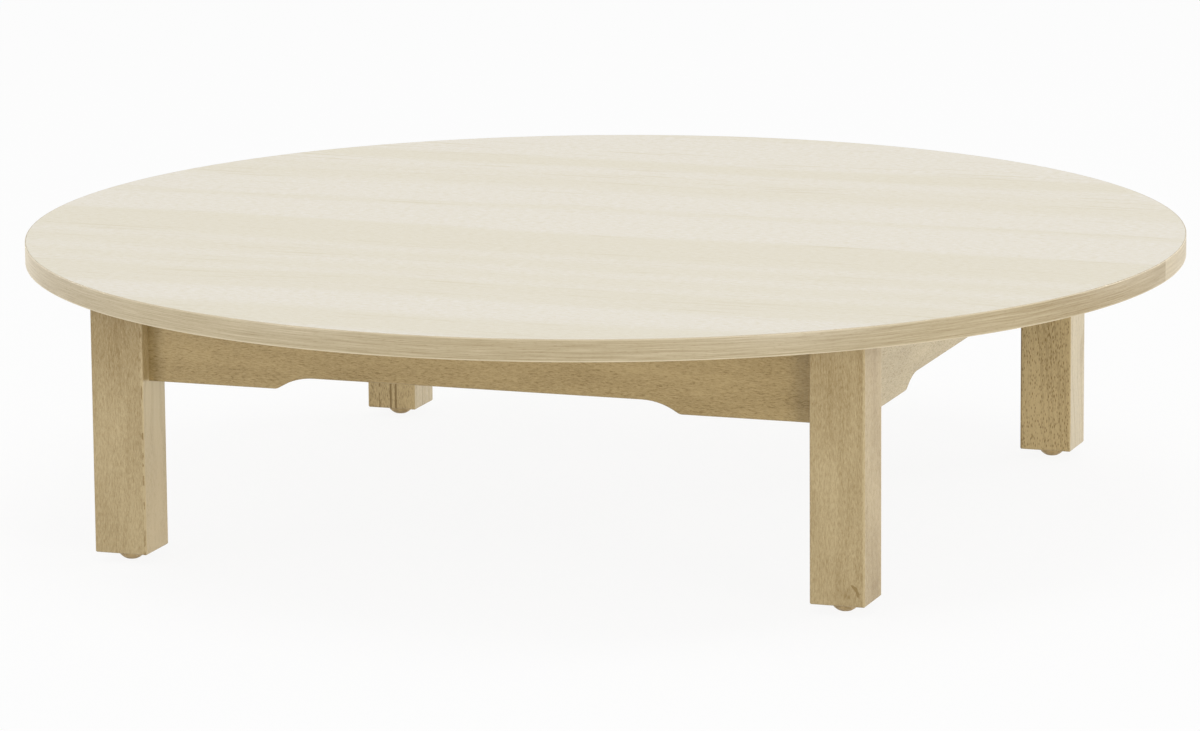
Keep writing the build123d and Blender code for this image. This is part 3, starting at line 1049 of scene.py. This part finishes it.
def screw_shells(seats):
    """A screw at each seat, (point under the head, way it drives, way it faces), on all sides."""
    shells = []
    for quarters in range(4):
        for seat, way, side in seats:
            screw = stood_on(cross_screw(draw.uniform(0, math.pi / 2)), seat, way, side)
            shells.append(skin(quarter_turn(screw, quarters), "capped"))
    return shells


to_front, to_left, to_right, to_back = (0, -1, 0), (-1, 0, 0), (1, 0, 0), (0, 1, 0)
apron_inner = box_mm("apron_front")[1][1]
plate_seat = apron_inner + plate_thickness
plate_low, plate_high = box_mm("corner_plate_front_left")
plate_middle = (plate_low[2] + plate_high[2]) / 2
wing_middle = plate_high[0] - half_wing
plate_seats = []
for height in (plate_middle - screw_rise, plate_middle + screw_rise):
    plate_seats.append(((wing_middle, plate_seat, height), to_front, to_right))
    plate_seats.append(((plate_seat, wing_middle, height), to_left, to_back))
bracket_low, bracket_high = box_mm("brackets_front")
bracket_seats = []
for middle_x in (bracket_low[0] + bracket_half, bracket_high[0] - bracket_half):
    low_seat = (middle_x, plate_seat, bracket_high[2] - bracket_screw)
    top_seat = (middle_x, apron_inner + bracket_screw, bracket_high[2] - plate_thickness)
    bracket_seats += [(low_seat, to_front, to_right), (top_seat, upright, to_right)]
for name, seats in zip(screw_sets, (plate_seats, bracket_seats)):
    piece = add_piece(f"cross_{name}", screw_shells(seats), yellow_zinc, "table")
    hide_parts(name)
print("screws", 4 * (len(plate_seats) + len(bracket_seats)))

# %% [markdown]
# ## The studio floor
#
# A furniture maker's catalogue shows a table on plain white, but white light strong enough for
# that would bleach the wood. So the floor is painted white only for rays that come from the camera,
# from a reflection or through glass, and by a share, so that the table's soft shadow stays. Seen
# from underneath it is clear, so that the fittings can be looked at.

# %% The studio floor
floor_radius = 40
floor_grey = (0.94, 0.94, 0.94, 1.0)
floor_lift = 0.9
white = (1.0, 1.0, 1.0, 1.0)


def seen_directly(recipe):
    """1 for rays from the camera, from a reflection or through glass, and 0 for the rest."""
    path = recipe.node("ShaderNodeLightPath").socket.node
    kinds = ("Is Camera Ray", "Is Glossy Ray", "Is Transmission Ray")
    camera, glossy, glass = [Signal(recipe, path.outputs[kind]) for kind in kinds]
    return recipe.maths("MINIMUM", camera + glossy + glass, 1.0)


ground = Finish("studio floor")
ground.set(Base_Color=floor_grey, Roughness=0.9, Specular_IOR_Level=0.0)
painted = Signal(ground, ground.shader.outputs[0])
glow = ground.node("ShaderNodeEmission", None, {"Color": white, "Strength": 1.0})
lift = seen_directly(ground) * floor_lift
lifted = ground.node("ShaderNodeMixShader", None, {0: lift, 1: painted, 2: glow})
from_below = ground.node("ShaderNodeNewGeometry", output=6)
clear = ground.node("ShaderNodeBsdfTransparent")
shown = ground.node("ShaderNodeMixShader", None, {0: from_below, 1: lifted, 2: clear})
ground.tree.links.new(shown.socket, ground.tree.nodes["Material Output"].inputs[0])
bpy.ops.mesh.primitive_circle_add(vertices=96, radius=floor_radius, fill_type="NGON")
floor = bpy.context.object
floor.name = "floor"
floor.data.materials.append(ground.owner)
print("floor", floor_radius * 2, "m across, lifted towards white by", floor_lift)

# %% [markdown]
# ## The room
#
# The world is the walls and the ceiling in one. It fills every shadow with a little even light, and
# it is plain white wherever the camera, a reflection or glass looks at it directly.

# %% The room's even light
fill_light = 0.6
world = bpy.data.worlds.new("studio")
bpy.context.scene.world = world
room = Recipe(world, "Background")
room.set(Color=white, Strength=fill_light + seen_directly(room) * (1 - fill_light))
print("even light of strength", fill_light)

# %% [markdown]
# ## The lamps
#
# The legs should keep their colour even on their inner faces. Light that does this comes from the
# sides and low down, where it can reach in under the top, so four wide lamps stand round the table
# at less than a metre's height. A weak one overhead is enough for the top.

# %% The lamps
lamp_target = Vector((0, 0, 0.15))
wide = (3, 1.2)
lamps = {
    "right_front": ((7, -5, 0.8), wide, 306),
    "left_front": ((-6, -7, 0.8), wide, 204),
    "back_right": ((6.5, 6, 0.8), wide, 307),
    "overhead": ((0, 0, 5), (3, 3), 49),
    "left": ((-9, 2, 0.8), wide, 160),
}
for name, (spot, size, power) in lamps.items():
    light = bpy.data.lights.new(name, "AREA")
    light.shape, light.energy = "RECTANGLE", power
    light.size, light.size_y = size
    lamp = bpy.data.objects.new(name, light)
    lamp.location = spot
    lamp.rotation_euler = (lamp_target - Vector(spot)).to_track_quat("-Z", "Y").to_euler()
    bpy.context.scene.collection.objects.link(lamp)
print("lamps give", sum(power for _, _, power in lamps.values()), "W in all")

# %% [markdown]
# ## The camera
#
# A long lens, well back, keeps the round top from looking stretched. It looks down enough to show
# the top and the aprons' arches at once. The camera's turn is written the way a photographer would
# say it, in radians: pan to the right, tilt down, and a slight roll.

# %% The camera
camera_spot = (2.1727, -6.1783, 1.4591)
camera_pan, camera_tilt, camera_roll = -0.3392, 0.1976, -0.0079
camera_lens, film_width = 192.44, 36.0
farthest = 200
data = bpy.data.cameras.new("portrait")
data.lens, data.sensor_width, data.clip_end = camera_lens, film_width, farthest
forward = Vector((math.sin(camera_pan) * math.cos(camera_tilt),
                  math.cos(camera_pan) * math.cos(camera_tilt), -math.sin(camera_tilt)))
level = forward.to_track_quat("-Z", "Y")
camera = bpy.data.objects.new("portrait", data)
camera.rotation_mode = "QUATERNION"
camera.rotation_quaternion = level @ Euler((0, 0, camera_roll)).to_quaternion()
camera.location = camera_spot
bpy.context.scene.collection.objects.link(camera)
bpy.context.scene.camera = camera
bpy.context.scene.view_settings.view_transform = "Standard"
print("the camera stands", round(Vector(camera_spot).length, 2), "m from the table's middle")
